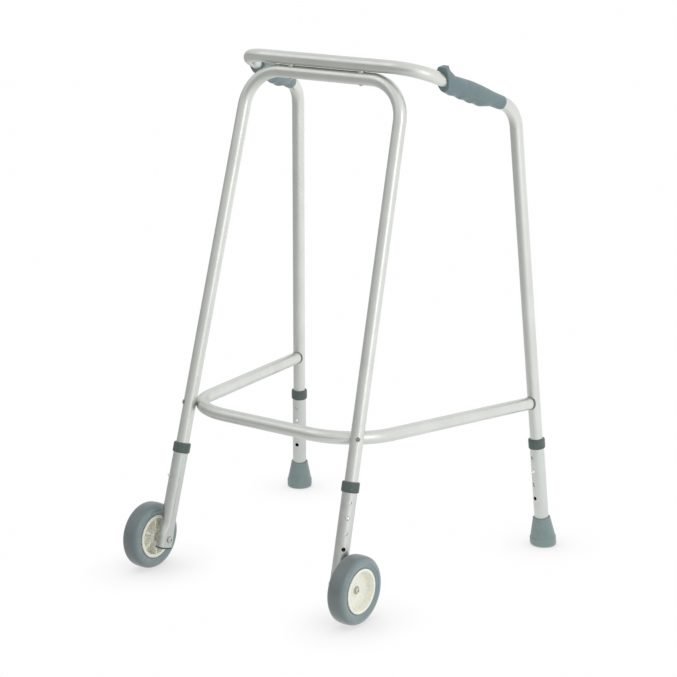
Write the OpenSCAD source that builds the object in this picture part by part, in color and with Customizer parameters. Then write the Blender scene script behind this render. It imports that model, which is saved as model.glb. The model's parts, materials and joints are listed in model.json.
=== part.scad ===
// Wheeled walking frame with height-adjustable legs.
// Origin: on the floor, at the middle of the footprint. The front faces -Y, and +X is the user's left.

/* [Frame tubes] */
// Outside diameter of the frame tubes
tube_d = 22.2; // [21:0.1:23]
// Wall thickness of every tube
tube_wall = 1.5; // [1.3:0.1:1.7]
// Floor to the centre line of the top crossbar
crossbar_z = 871; // [865:1:890]
// Centre plane to each sharp corner of the crossbar
crossbar_half = 179.7; // [177:0.1:182]
// How far forward of the origin the crossbar lies
crossbar_forward = 14; // [10:1:18]
// Gap between the crossbar and the front frame's top bar
bar_gap = 0.7; // [0.5:0.1:1.2]
// Centre plane to each top corner of the front frame
front_half = 159; // [156:0.5:162]
// Bend radius of the crossbar corners
crossbar_bend = 60; // [50:1:65]
// Bend radius of the front frame's top corners
front_bend = 66; // [55:1:72]

/* [Handles] */
// Centre plane to the sharp corner at the back of each handle
handle_half = 230.3; // [226:0.1:235]
// How far behind the origin the back of each handle lies
handle_back = 210.5; // [205:0.1:216]
// Floor to the back of each handle
handle_back_z = 786.5; // [775:0.5:795]
// Bend radius at the back of each handle
handle_bend = 50; // [42:1:52]
// Crossbar corner to the front of each grip, before its slanted end is cut
grip_start = 50; // [48:1:52]
// Length of each grip, before its slanted end is cut
grip_length = 161; // [155:1:161]

/* [Low brace] */
// Floor to the centre line of the brace's front bar
brace_z = 284.2; // [282:0.1:290]
// Floor to the centre line of the brace's back ends
brace_end_z = 265.5; // [262:0.5:272]
// Centre plane to each sharp front corner of the brace
brace_half = 177.2; // [176.8:0.1:177.6]
// How far forward of the origin the brace's front bar lies
brace_forward = 182; // [181.6:0.1:182.4]
// Bend radius of the brace's front corners
brace_bend = 107; // [106.5:0.5:108]

/* [Adjustable legs] */
// Outside diameter of the lower leg tubes
sleeve_d = 25.4; // [25.2:0.1:25.6]
// Distance between neighbouring height holes
hole_pitch = 25.4; // [24:0.1:26]
// Number of height holes in each lower leg
hole_count = 4; // [3:1:5]
// Which hole the button sits in, counted from the top
set_hole = 2; // [2:1:3]
// Axle to the top height hole of a front leg, along the leg
front_top_hole = 136; // [132:0.1:137]
// Floor to the top height hole of a back leg, along the leg
back_top_hole = 166.3; // [160:0.1:168]
// Diameter of the height holes
hole_d = 7; // [6.8:0.1:7.4]
// Centre plane to each back leg's axis at the floor
foot_half = 274.5; // [270:0.1:279]
// How far behind the origin each back leg's axis meets the floor
foot_back = 266.8; // [266:0.1:268]

/* [Wheels and feet] */
// Wheel diameter
wheel_d = 115; // [113:1:117]
// How far forward of the origin the axle lies
axle_forward = 232.9; // [232:0.1:234]
// Centre plane to each front leg's axis at axle height
axle_half = 184.3; // [182:0.1:187]
// Front leg's axis to the middle of its wheel
wheel_offset = 34.1; // [33.5:0.1:36]
// Axle bolt diameter
axle_d = 8; // [7.6:0.1:8]
// Diameter of each ferrule's foot
ferrule_d = 47; // [44:1:50]
// Length of each ferrule along its leg
ferrule_length = 52; // [48:1:56]

/* [Hidden] */
$fn = 64;
eps = 0.05;                  // hairline that keeps neighbouring pieces from overlapping
slide_clearance = 0.08;      // radial clearance of the telescopic legs
bush_clearance = 0.06;       // radial clearance of the wheel bushes on their axles
sleeve_bore = tube_d + 2 * slide_clearance;
wheel_r = wheel_d / 2;
band = 0.2;                  // half length of the band where a tube's bend starts
band_step = 0.04;            // and how much wider it is than the tube

// Lengths along a leg, counted from the top height hole
collar_above = 15.8;         // up to the collar's lower rim
collar_height = 18;
collar_seat = 14.5;            // depth of the collar's seat for the lower tube
inner_tail = 31;             // upper tube's length below its button
front_tube_tail = 14;        // lower front tube's length below the axle
ferrule_floor = 8;           // rubber under the back tube

// Snap button, measured outwards from the leg's axis
button_d = hole_d - 0.4;
button_seat = 8.6;           // top of the button's flange
button_flange_d = 8.4;
button_flange = 1;
button_tip = 15.4;
clip_strip = 0.8;            // thickness of the spring strip
clip_width = 8;

// Wheel section, measured outwards from the wheel's middle plane
tyre_half = 17;
tyre_shoulder = 10;
tyre_bead_half = 13.3;
hub_r = 36.5;
hub_lip_r = 37.6;
hub_lip = 2;
hub_half = 15.5;
hub_wall = 5;
dish_depth = 13;
web = 3.5;
boss_r = 11;
boss_in = 16.5;
boss_out = 4;
bush_d = 13;
rib_count = 6;
rib = 3;
groove_depth = 2;
groove_half = 7;
washer_d = 17;
washer_t = 1.2;
nut_af = 12;
nut_h = 4.5;
bolt_head_d = 11;
bolt_head_h = 4;

// Spacer that fills the gap between a leg and its wheel
spacer_d = 14;
side_play = 0.2;             // play of the wheel along its axle
washer_seat = boss_out + side_play;
leg_inner_face = -wheel_offset - sleeve_d / 2 - 0.3;
bolt_tip = 1;                // thread that stands proud of the nut

// Collar and end plug
collar_r = 14.8;
collar_round = 2.6;
plug_flange = 2.5;
plug_depth = 8;

// Ferrule: an upright band with a cone along the leg on it
foot_band = 15;
foot_round = 3;
cone_base_r = 23.6;
cone_top_r = 15.6;
disc_t = 1.5;

// Grip outline as [distance from its uncut front, radius], the finger bumps under it, and the
// thumb stop's side view as [height above the handle's axis, distance from the uncut front]
grip_bore = tube_d + 2 * eps;
grip_outline = [[0, 13.5], [38, 14.5], [77, 15.8], [116, 14.6], [134, 12.9], [161, 12.2]];
bump_places = [38, 62, 85, 108];
bump_r = 13.4;
bump_drop = 6.2;
thumb_stop_width = 16;
thumb_stop_outline = [[8, 6], [18, 3.5], [23.8, 11], [23, 14.5], [18, 19], [15.8, 22], [14, 27], [8, 31]];
grip_lean = 26.6;            // how far the grip's front end leans forward
grip_lean_height = 28;       // height above the axis at which the cut meets the uncut front

// Screws and rivets of the frame
screw_d = 5;
rivet_head_d = 8;
rivet_head_h = 1.8;
rivet_tail_d = 8;
rivet_grip = 1.5 * tube_d + 0.5; // leg's axis to the far side of the brace
rivet_nut_d = 7;
rivet_nut_flange_d = 10;
rivet_nut_depth = 8;
crossbar_underside = crossbar_z - tube_d / 2;
front_bar_underside = crossbar_z - bar_gap - 1.5 * tube_d;
crossbar_screw_half = 72.3;  // centre plane to each crossbar screw

// Saddle between a brace end and its leg, with a plug inside the brace
saddle_d = 23.6;
saddle_gap = 1.6;            // plastic between a brace end and its leg
saddle_reach = 4.2;
saddle_plug = 14;
head_gap = 0.65;             // under the screw's head, because the brace meets the leg at a slant
brace_screw_depth = 12;      // thread that reaches into the saddle's plug

LEFT = 1;
RIGHT = -1;

function unit(v) = v / norm(v);
function up_axis(lower, upper) = unit(upper - lower);
function at_height(p, u, z) = p + u * (z - p.z) / u.z;

// Sharp corners and ends of the tubes' centre lines, for the side s
function crossbar_corner(s) = [s * crossbar_half, -crossbar_forward, crossbar_z];
function handle_corner(s) = [s * handle_half, handle_back, handle_back_z];
function foot_point(s) = [s * foot_half, foot_back, 0];
function front_corner(s) = [s * front_half, -crossbar_forward, crossbar_z - tube_d - bar_gap];
function axle_point(s) = [s * axle_half, -axle_forward, wheel_r];
function rear_axis(s) = up_axis(foot_point(s), handle_corner(s));
function front_axis(s) = up_axis(axle_point(s), front_corner(s));
function brace_corner(s) = [s * brace_half, -brace_forward, brace_z];
function brace_root(s) = at_height(foot_point(s), rear_axis(s), brace_end_z);
function brace_axis(s) = unit(brace_root(s) - brace_corner(s));
function brace_end(s) = brace_root(s) - brace_axis(s) * (tube_d / 2 + saddle_gap);

// Height hole number n, counted from 1 at the top, along a leg
function hole_at(top, n) = top - (n - 1) * hole_pitch;
function inner_end(top) = hole_at(top, set_hole) - inner_tail;

// Which way a leg's button faces
function front_button_way(s) = [s * sin(43.5), -cos(43.5), 0];
function rear_button_way(s) = [-s * sin(15), -cos(15), 0];

// Puts its children's origin at p, their Z along z and their X as near to x as it can be
module place(p, z, x) {
    k = unit(z);
    j = unit(cross(k, x));
    i = cross(j, k);
    multmatrix([[i.x, j.x, k.x, p.x], [i.y, j.y, k.y, p.y], [i.z, j.z, k.z, p.z], [0, 0, 0, 1]])
        children();
}

module front_leg(s) { place(axle_point(s), front_axis(s), front_button_way(s)) children(); }

module rear_leg(s) { place(foot_point(s), rear_axis(s), rear_button_way(s)) children(); }

module wheel(s) {
    translate(axle_point(s) + [s * wheel_offset, 0, 0]) rotate([0, s * 90, 0]) children();
}

// Solid round bar from a to b
module bar(a, b, d) {
    side = abs(unit(b - a).z) < 0.9 ? [0, 0, 1] : [1, 0, 0];
    place(a, b - a, side) cylinder(d = d, h = norm(b - a));
}

// How far a bend's tangent points lie from its sharp corner
function turn(u, v) = acos(u * v);
function setback(u, v, r) = r * tan(turn(u, v) / 2);

module bend(p, u, v, r, d) {
    centre = p + unit(v - u) * r / cos(turn(u, v) / 2);
    start = p - u * setback(u, v, r);
    place(centre, cross(u, v), start - centre)
        rotate_extrude(angle = turn(u, v)) translate([r, 0]) circle(d = d);
}

// Round bar along the points, bent to radii[i] at points[i].
// A hairline band joins each bend to the straight bars beside it.
module bent_bar(points, radii, d) {
    last = len(points) - 1;
    way = [for (i = [0 : last - 1]) unit(points[i + 1] - points[i])];
    back = [for (i = [0 : last]) i == 0 || i == last ? 0 : setback(way[i - 1], way[i], radii[i])];
    for (i = [0 : last - 1]) {
        from = points[i] + way[i] * back[i];
        to = points[i + 1] - way[i] * back[i + 1];
        bar(from, to, d);
        if (i > 0) bar(from - way[i] * band, from + way[i] * band, d + band_step);
        if (i < last - 1) bar(to - way[i] * band, to + way[i] * band, d + band_step);
    }
    for (i = [1 : last - 1])
        bend(points[i], way[i - 1], way[i], radii[i], d);
}

// The same bar as a tube, open at both ends
module bent_tube(points, radii) {
    last = len(points) - 1;
    first_way = unit(points[1] - points[0]);
    last_way = unit(points[last] - points[last - 1]);
    longer = [for (i = [0 : last])
        i == 0 ? points[0] - first_way : i == last ? points[last] + last_way : points[i]];
    difference() {
        bent_bar(points, radii, tube_d);
        bent_bar(longer, radii, tube_d - 2 * tube_wall);
    }
}

module ring(outer_d, inner_d, h) {
    difference() {
        cylinder(d = outer_d, h = h);
        translate([0, 0, -1]) cylinder(d = inner_d, h = h + 2);
    }
}

// Section of a ring from radius r0 to r1 and z0 to z1, its outer corners rounded to c
module rounded_section(r0, r1, z0, z1, c) {
    translate([r0, z0]) square([r1 - r0 - c, z1 - z0]);
    translate([r0, z0 + c]) square([r1 - r0, z1 - z0 - 2 * c]);
    for (z = [z0 + c, z1 - c]) translate([r1 - c, z]) circle(r = c);
}

// Domed head of a screw or rivet, its flat side on z = 0
module dome(d, h) {
    r = (d * d / 4 + h * h) / (2 * h);
    intersection() {
        translate([0, 0, h - r]) sphere(r = r);
        cylinder(d = d, h = h);
    }
}

// ---- The frame's three bent tubes ----

handle_path = [
    foot_point(RIGHT) + rear_axis(RIGHT) * inner_end(back_top_hole), handle_corner(RIGHT),
    crossbar_corner(RIGHT), crossbar_corner(LEFT),
    handle_corner(LEFT), foot_point(LEFT) + rear_axis(LEFT) * inner_end(back_top_hole)
];
handle_radii = [0, handle_bend, crossbar_bend, crossbar_bend, handle_bend, 0];
front_path = [
    axle_point(RIGHT) + front_axis(RIGHT) * inner_end(front_top_hole), front_corner(RIGHT),
    front_corner(LEFT), axle_point(LEFT) + front_axis(LEFT) * inner_end(front_top_hole)
];
brace_path = [brace_end(RIGHT), brace_corner(RIGHT), brace_corner(LEFT), brace_end(LEFT)];

// Where a front leg passes the brace's rounded corner: the nearest points of their centre lines
function brace_bend_centre(s) =
    brace_corner(s) + unit(brace_axis(s) - [s, 0, 0])
        * brace_bend / cos(turn([s, 0, 0], brace_axis(s)) / 2);
function nearest_on_bend(s, p) =
    let (c = brace_bend_centre(s), n = unit(cross([s, 0, 0], brace_axis(s))), v = p - c)
    c + unit(v - n * (v * n)) * brace_bend;
function nearest_on_leg(s, p) = axle_point(s) + front_axis(s) * ((p - axle_point(s)) * front_axis(s));
function meeting_point(s, p, rounds) =
    rounds == 0 ? p : meeting_point(s, nearest_on_leg(s, nearest_on_bend(s, p)), rounds - 1);
function brace_leg_point(s) = meeting_point(s, at_height(axle_point(s), front_axis(s), brace_z), 20);
function brace_rivet_way(s) = unit(brace_leg_point(s) - nearest_on_bend(s, brace_leg_point(s)));

module brace_rivet_line(s) {
    place(brace_leg_point(s), brace_rivet_way(s), [0, 0, 1]) children();
}

module brace_screw_line(s) { place(brace_root(s), brace_axis(s), [0, 0, 1]) children(); }

module crossbar_screw_holes() {
    for (x = [-1, 1] * crossbar_screw_half)
        translate([x, -crossbar_forward, 0]) children();
}

module button_hole(top) {
    translate([0, 0, hole_at(top, set_hole)]) rotate([0, 90, 0]) cylinder(d = hole_d, h = sleeve_d);
}

module handle_tube() {
    color([0.74, 0.75, 0.73]) difference() {
        bent_tube(handle_path, handle_radii);
        for (s = [LEFT, RIGHT]) {
            rear_leg(s) button_hole(back_top_hole);
            brace_screw_line(s) translate([0, 0, -tube_d]) cylinder(d = screw_d + 0.2, h = 2 * tube_d);
        }
        crossbar_screw_holes()
            translate([0, 0, crossbar_z - tube_d]) cylinder(d = rivet_nut_d, h = tube_d);
    }
}

module front_leg_tube() {
    color([0.74, 0.75, 0.73]) difference() {
        bent_tube(front_path, [0, front_bend, front_bend, 0]);
        for (s = [LEFT, RIGHT]) {
            front_leg(s) button_hole(front_top_hole);
            brace_rivet_line(s) translate([0, 0, -tube_d]) cylinder(d = screw_d, h = 2 * tube_d);
        }
        crossbar_screw_holes()
            translate([0, 0, crossbar_z - 2 * tube_d - bar_gap]) cylinder(d = screw_d + 0.4, h = 2 * tube_d);
    }
}

module brace_tube() {
    color([0.74, 0.75, 0.73]) difference() {
        bent_tube(brace_path, [0, brace_bend, brace_bend, 0]);
        for (s = [LEFT, RIGHT])
            brace_rivet_line(s) translate([0, 0, -2 * tube_d]) cylinder(d = screw_d, h = 2 * tube_d);
    }
}

// ---- Fixings of the frame ----

module crossbar_rivet_nuts() {
    color([0.8, 0.8, 0.78]) crossbar_screw_holes() difference() {
        union() {
            translate([0, 0, crossbar_underside - bar_gap + eps])
                cylinder(d = rivet_nut_flange_d, h = bar_gap - 2 * eps);
            translate([0, 0, crossbar_underside - bar_gap + eps])
                cylinder(d = rivet_nut_d - 2 * eps, h = rivet_nut_depth);
        }
        translate([0, 0, crossbar_underside - bar_gap - 1])
            cylinder(d = screw_d, h = rivet_nut_depth + 2);
    }
}

module crossbar_screws() {
    color([0.62, 0.63, 0.62]) crossbar_screw_holes() {
        translate([0, 0, front_bar_underside - eps])
            cylinder(d = screw_d - 2 * eps, h = tube_d + bar_gap + rivet_nut_depth);
        translate([0, 0, front_bar_underside - eps]) mirror([0, 0, 1]) dome(rivet_head_d, rivet_head_h);
    }
}

module brace_rivets() {
    color([0.5, 0.51, 0.5]) for (s = [LEFT, RIGHT]) brace_rivet_line(s) {
        translate([0, 0, tube_d / 2 + eps]) dome(rivet_head_d, rivet_head_h);
        translate([0, 0, -rivet_grip - 1]) cylinder(d = screw_d - 2 * eps, h = rivet_grip + tube_d / 2 + 2);
        translate([0, 0, -rivet_grip]) mirror([0, 0, 1]) dome(rivet_tail_d, rivet_head_h);
    }
}

module brace_saddles() {
    color([0.42, 0.46, 0.45]) for (s = [LEFT, RIGHT]) difference() {
        brace_screw_line(s) {
            translate([0, 0, -tube_d / 2 - saddle_gap + eps]) cylinder(d = saddle_d, h = saddle_reach);
            translate([0, 0, -tube_d / 2 - saddle_gap - saddle_plug])
                cylinder(d = tube_d - 2 * tube_wall - 2 * eps, h = saddle_plug + 1);
        }
        rear_leg(s) cylinder(d = tube_d + 2 * eps, h = 2 * brace_end_z);
        brace_screw_line(s) translate([0, 0, -2 * tube_d]) cylinder(d = screw_d, h = 2 * tube_d);
    }
}

module brace_end_screws() {
    color([0.62, 0.63, 0.62]) for (s = [LEFT, RIGHT]) brace_screw_line(s) {
        translate([0, 0, -tube_d / 2 - saddle_gap - brace_screw_depth])
            cylinder(d = screw_d - 2 * eps, h = tube_d + saddle_gap + brace_screw_depth + 2 * head_gap);
        translate([0, 0, tube_d / 2 + head_gap]) dome(rivet_head_d, rivet_head_h);
    }
}

// ---- Grips ----

module handle_line(s) {
    z = unit(handle_corner(s) - crossbar_corner(s));
    place(crossbar_corner(s) + z * grip_start, z, [0, 0, 1]) children();
}

// Local X is up, and local Z runs back along the handle
module grip_body() {
    k = grip_length / 161;
    rotate_extrude() polygon([[0, 0], for (p = grip_outline) [p[1], p[0] * k], [0, grip_length]]);
    for (z = bump_places) translate([-bump_drop, 0, z * k]) sphere(r = bump_r);
    rotate([90, 0, 0]) linear_extrude(thumb_stop_width, center = true) polygon(thumb_stop_outline);
}

module grip(s) {
    color([0.5, 0.57, 0.58]) handle_line(s) difference() {
        grip_body();
        translate([0, 0, -10]) cylinder(d = grip_bore, h = grip_length + 20);
        translate([grip_lean_height, 0, 0]) rotate([0, grip_lean, 0])
            translate([-60, -30, -40]) cube([80, 60, 40]);
    }
}

module left_grip() { grip(LEFT); }
module right_grip() { grip(RIGHT); }

// ---- Snap buttons and their springs, in a leg's own frame ----

module button(top) {
    color([0.82, 0.82, 0.8]) translate([0, 0, hole_at(top, set_hole)]) rotate([0, 90, 0]) {
        translate([0, 0, button_seat - button_flange]) cylinder(d = button_flange_d, h = button_flange);
        translate([0, 0, button_seat - eps])
            cylinder(d = button_d, h = button_tip - button_d / 2 - button_seat + eps);
        translate([0, 0, button_tip - button_d / 2]) sphere(d = button_d);
    }
}

// V-shaped strip: one arm carries the button, the other bears on the far wall
module clip(top) {
    arm = button_seat - button_flange - eps;
    far = -button_seat;
    t = clip_strip;
    color([0.6, 0.61, 0.62]) translate([0, 0, hole_at(top, set_hole)])
        rotate([90, 0, 0]) linear_extrude(clip_width, center = true) polygon([
            [arm, -7], [arm, 7], [0.9, 44], [-0.9, 44], [far, 9], [far, -7],
            [far + t, -7], [far + t, 9], [0, 42], [arm - t, 7], [arm - t, -7]
        ]);
}

module left_front_button() { front_leg(LEFT) button(front_top_hole); }
module right_front_button() { front_leg(RIGHT) button(front_top_hole); }
module left_rear_button() { rear_leg(LEFT) button(back_top_hole); }
module right_rear_button() { rear_leg(RIGHT) button(back_top_hole); }
module left_front_clip() { front_leg(LEFT) clip(front_top_hole); }
module right_front_clip() { front_leg(RIGHT) clip(front_top_hole); }
module left_rear_clip() { rear_leg(LEFT) clip(back_top_hole); }
module right_rear_clip() { rear_leg(RIGHT) clip(back_top_hole); }

// ---- Lower legs, in a leg's own frame ----

module lower_tube(bottom, top) {
    difference() {
        translate([0, 0, bottom]) ring(sleeve_d, sleeve_bore, top + collar_above + collar_seat - bottom);
        for (n = [1 : hole_count])
            translate([0, 0, hole_at(top, n)]) rotate([0, 90, 0]) cylinder(d = hole_d, h = sleeve_d);
    }
}

module collar(top) {
    color([0.38, 0.42, 0.4]) translate([0, 0, top + collar_above]) difference() {
        rotate_extrude() rounded_section(0, collar_r, 0, collar_height, collar_round);
        translate([0, 0, -1]) cylinder(d = sleeve_d, h = collar_seat + 1);
        translate([0, 0, -1]) cylinder(d = tube_d + 0.2, h = collar_height + 2);
    }
}

module front_lower_tube(s) {
    color([0.74, 0.75, 0.73]) difference() {
        front_leg(s) lower_tube(-front_tube_tail, front_top_hole);
        wheel(s) translate([0, 0, -wheel_offset - sleeve_d]) cylinder(d = axle_d + 0.2, h = 2 * sleeve_d);
    }
}

module rear_lower_tube(s) {
    color([0.74, 0.75, 0.73]) rear_leg(s) lower_tube(ferrule_floor, back_top_hole);
}

module end_plug(s) {
    color([0.25, 0.28, 0.27]) front_leg(s) translate([0, 0, -front_tube_tail]) {
        translate([0, 0, -plug_flange]) cylinder(d = sleeve_d + 1, h = plug_flange - eps);
        translate([0, 0, -1]) cylinder(d = sleeve_bore - 2 * eps, h = plug_depth + 1);
    }
}

module ferrule(s) {
    color([0.5, 0.57, 0.57]) difference() {
        union() {
            translate(foot_point(s)) rotate_extrude()
                rounded_section(0, ferrule_d / 2, 0, foot_band, foot_round);
            intersection() {
                rear_leg(s) cylinder(r1 = cone_base_r, r2 = cone_top_r, h = ferrule_length);
                translate(foot_point(s) + [-ferrule_d, -ferrule_d, foot_band / 2])
                    cube([2 * ferrule_d, 2 * ferrule_d, 2 * ferrule_length]);
            }
        }
        rear_leg(s) translate([0, 0, ferrule_floor - disc_t - eps])
            cylinder(d = sleeve_d, h = ferrule_length);
    }
}

module ferrule_disc(s) {
    color([0.7, 0.7, 0.7]) rear_leg(s) translate([0, 0, ferrule_floor - disc_t])
        cylinder(d = sleeve_d - 2 * eps, h = disc_t - eps);
}

module left_front_lower_tube() { front_lower_tube(LEFT); }
module right_front_lower_tube() { front_lower_tube(RIGHT); }
module left_rear_lower_tube() { rear_lower_tube(LEFT); }
module right_rear_lower_tube() { rear_lower_tube(RIGHT); }
module left_front_collar() { front_leg(LEFT) collar(front_top_hole); }
module right_front_collar() { front_leg(RIGHT) collar(front_top_hole); }
module left_rear_collar() { rear_leg(LEFT) collar(back_top_hole); }
module right_rear_collar() { rear_leg(RIGHT) collar(back_top_hole); }
module left_end_plug() { end_plug(LEFT); }
module right_end_plug() { end_plug(RIGHT); }
module left_ferrule() { ferrule(LEFT); }
module right_ferrule() { ferrule(RIGHT); }
module left_ferrule_disc() { ferrule_disc(LEFT); }
module right_ferrule_disc() { ferrule_disc(RIGHT); }

// ---- Axles, in the wheel's frame: Z points away from the leg ----

module axle_bolt(s) {
    under_head = washer_seat + washer_t + eps;
    color([0.7, 0.7, 0.69]) wheel(s) {
        translate([0, 0, leg_inner_face - nut_h - bolt_tip])
            cylinder(d = axle_d, h = under_head - leg_inner_face + nut_h + bolt_tip);
        translate([0, 0, under_head]) dome(bolt_head_d, bolt_head_h);
    }
}

module axle_nut(s) {
    color([0.7, 0.7, 0.69]) wheel(s) translate([0, 0, leg_inner_face - eps]) mirror([0, 0, 1])
        difference() {
            cylinder(d = nut_af / cos(30), h = nut_h, $fn = 6);
            translate([0, 0, -1]) cylinder(d = axle_d, h = nut_h + 2);
        }
}

// A washer under the bolt's head, and a spacer saddled onto the leg
module axle_washers(s) {
    color([0.66, 0.63, 0.55]) {
        wheel(s) translate([0, 0, washer_seat]) ring(washer_d, axle_d + 0.1, washer_t);
        difference() {
            wheel(s) translate([0, 0, -wheel_offset])
                ring(spacer_d, axle_d + 0.1, wheel_offset - boss_in - side_play);
            front_leg(s) translate([0, 0, -2 * front_tube_tail])
                cylinder(d = sleeve_d + 2 * eps, h = 4 * front_tube_tail);
        }
    }
}

module left_axle_bolt() { axle_bolt(LEFT); }
module right_axle_bolt() { axle_bolt(RIGHT); }
module left_axle_nut() { axle_nut(LEFT); }
module right_axle_nut() { axle_nut(RIGHT); }
module left_axle_washers() { axle_washers(LEFT); }
module right_axle_washers() { axle_washers(RIGHT); }

// ---- Wheels ----

module hub(s) {
    ring_r = hub_r - hub_wall;
    color([0.87, 0.87, 0.83]) wheel(s) difference() {
        union() {
            translate([0, 0, -hub_half]) cylinder(r = hub_r, h = 2 * hub_half);
            for (z = [-hub_half, hub_half - hub_lip])
                translate([0, 0, z]) cylinder(r = hub_lip_r, h = hub_lip);
            translate([0, 0, -boss_in]) cylinder(r = boss_r, h = boss_in);
        }
        // outer dish, around the boss
        translate([0, 0, hub_half - dish_depth]) difference() {
            cylinder(r1 = ring_r, r2 = ring_r + 1.5, h = dish_depth + 1);
            cylinder(r = boss_r, h = boss_out - hub_half + dish_depth);
        }
        // pockets between the ribs on the leg's side
        translate([0, 0, -hub_half - 2]) difference() {
            cylinder(r = ring_r, h = 2 * hub_half - dish_depth - web + 2);
            cylinder(r = boss_r, h = 2 * hub_half);
            for (i = [1 : rib_count]) rotate([0, 0, i * 360 / rib_count])
                translate([0, -rib / 2, 5]) cube([hub_r, rib, 2 * hub_half]);
        }
        // groove that keys the tyre
        translate([0, 0, -groove_half]) difference() {
            cylinder(r = hub_r + 1, h = 2 * groove_half);
            cylinder(r = hub_r - groove_depth, h = 2 * groove_half);
        }
        translate([0, 0, -boss_in - 1]) cylinder(d = bush_d, h = boss_in + boss_out + 2);
    }
}

module tyre(s) {
    flat = tyre_half - tyre_shoulder;
    middle = wheel_r - tyre_shoulder;
    bead = hub_r - 2 * groove_depth;
    color([0.5, 0.56, 0.58]) wheel(s) difference() {
        rotate_extrude() {
            for (z = [-flat, flat]) translate([middle, z]) circle(r = tyre_shoulder);
            translate([middle, -flat]) square([tyre_shoulder, 2 * flat]);
            polygon([
                [bead, -tyre_bead_half], [hub_r + 2, -tyre_bead_half], [middle, 1 - tyre_half],
                [middle, tyre_half - 1], [hub_r + 2, tyre_bead_half], [bead, tyre_bead_half]
            ]);
        }
        translate([0, 0, -wheel_r]) cylinder(r = hub_r - groove_depth, h = wheel_d);
        for (m = [0, 1]) mirror([0, 0, m]) {
            translate([0, 0, groove_half]) cylinder(r = hub_r, h = wheel_r);
            translate([0, 0, tyre_bead_half + eps]) cylinder(r = hub_lip_r + eps, h = wheel_r);
        }
    }
}

module wheel_bush(s) {
    color([0.3, 0.31, 0.31]) wheel(s) translate([0, 0, -boss_in])
        ring(bush_d, axle_d + 2 * bush_clearance, boss_in + boss_out);
}

module left_wheel_hub() { hub(LEFT); }
module right_wheel_hub() { hub(RIGHT); }
module left_tyre() { tyre(LEFT); }
module right_tyre() { tyre(RIGHT); }
module left_wheel_bush() { wheel_bush(LEFT); }
module right_wheel_bush() { wheel_bush(RIGHT); }

handle_tube();
front_leg_tube();
brace_tube();
left_grip();
right_grip();
crossbar_screws();
crossbar_rivet_nuts();
brace_rivets();
brace_saddles();
brace_end_screws();
left_front_button();
right_front_button();
left_rear_button();
right_rear_button();
left_front_clip();
right_front_clip();
left_rear_clip();
right_rear_clip();
left_front_lower_tube();
right_front_lower_tube();
left_rear_lower_tube();
right_rear_lower_tube();
left_front_collar();
right_front_collar();
left_rear_collar();
right_rear_collar();
left_end_plug();
right_end_plug();
left_ferrule();
right_ferrule();
left_ferrule_disc();
right_ferrule_disc();
left_axle_bolt();
right_axle_bolt();
left_axle_nut();
right_axle_nut();
left_axle_washers();
right_axle_washers();
left_wheel_hub();
right_wheel_hub();
left_tyre();
right_tyre();
left_wheel_bush();
right_wheel_bush();
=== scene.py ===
import json
import math

import bmesh
import bpy
from mathutils import Matrix, Vector


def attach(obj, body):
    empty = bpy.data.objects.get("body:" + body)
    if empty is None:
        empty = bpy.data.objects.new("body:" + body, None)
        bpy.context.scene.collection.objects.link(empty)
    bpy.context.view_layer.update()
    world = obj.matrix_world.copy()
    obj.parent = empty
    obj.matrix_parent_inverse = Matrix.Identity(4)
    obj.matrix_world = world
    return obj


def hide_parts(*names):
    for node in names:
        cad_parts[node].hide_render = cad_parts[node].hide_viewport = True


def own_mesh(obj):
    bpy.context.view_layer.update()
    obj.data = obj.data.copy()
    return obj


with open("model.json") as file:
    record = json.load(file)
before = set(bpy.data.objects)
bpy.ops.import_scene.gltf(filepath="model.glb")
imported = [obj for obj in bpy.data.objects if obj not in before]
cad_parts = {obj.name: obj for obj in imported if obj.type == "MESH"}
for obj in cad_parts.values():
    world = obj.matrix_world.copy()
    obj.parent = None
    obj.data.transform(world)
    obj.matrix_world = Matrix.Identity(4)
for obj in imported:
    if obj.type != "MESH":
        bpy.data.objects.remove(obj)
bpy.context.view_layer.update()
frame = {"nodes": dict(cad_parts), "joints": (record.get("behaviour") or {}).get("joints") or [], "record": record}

MM = 0.001
SIDES = {"left": 1, "right": -1}
JOINTS = {j["name"]: j for j in frame["joints"]}
MOUNTS = {m["name"]: m for m in frame["record"]["mounts"]}

# The design's own sizes, in millimetres
TUBE_R = 11.1
SLEEVE_R = 12.7
SLEEVE_BORE_R = 11.18
WHEEL_OFFSET = 34.1
HOLE_R = 3.5
HOLE_PITCH = 25.4
HOLE_COUNT = 4
AXLE_HOLE_R = 4.3
FRONT_TOP_HOLE = 136
FRONT_TUBE_TAIL = 14
FRONT_TUBE_TOP = 166.3
CROSSBAR_CORNER = (179.7, -14, 871)
HANDLE_CORNER = (230.3, 210.5, 786.5)


# ---- Frames of the parts, each a matrix from local millimetres to the row's metres ----

def axes(x, y, z, origin):
    """Matrix with these columns, scaled from millimetres to metres."""
    m = Matrix((x, y, z)).transposed().to_4x4()
    m.translation = origin
    return m @ Matrix.Scale(MM, 4)


def wheel_frame(side):
    """Z points away from the leg along the axle, and X points down."""
    s = SIDES[side]
    return axes(Vector((0, 0, -s)), Vector((0, 1, 0)), Vector((s, 0, 0)), wheel_centre(side))


def wheel_centre(side):
    return Vector(JOINTS[f"{side}_wheel_spin"]["pos_m"])


def leg_frame(side, end):
    """Z runs up the leg from its axle or foot, and X is the way its button faces."""
    up = Vector(JOINTS[f"{side}_{end}_leg_height"]["axis"]).normalized()
    out = -Vector(JOINTS[f"{side}_{end}_button_press"]["axis"]).normalized()
    if end == "front":
        origin = wheel_centre(side) - Vector((SIDES[side] * WHEEL_OFFSET * MM, 0, 0))
    else:
        origin = Vector(MOUNTS[f"{side}_ferrule_foot"]["pos_m"])
    return axes(out, up.cross(out), up, origin)


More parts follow.
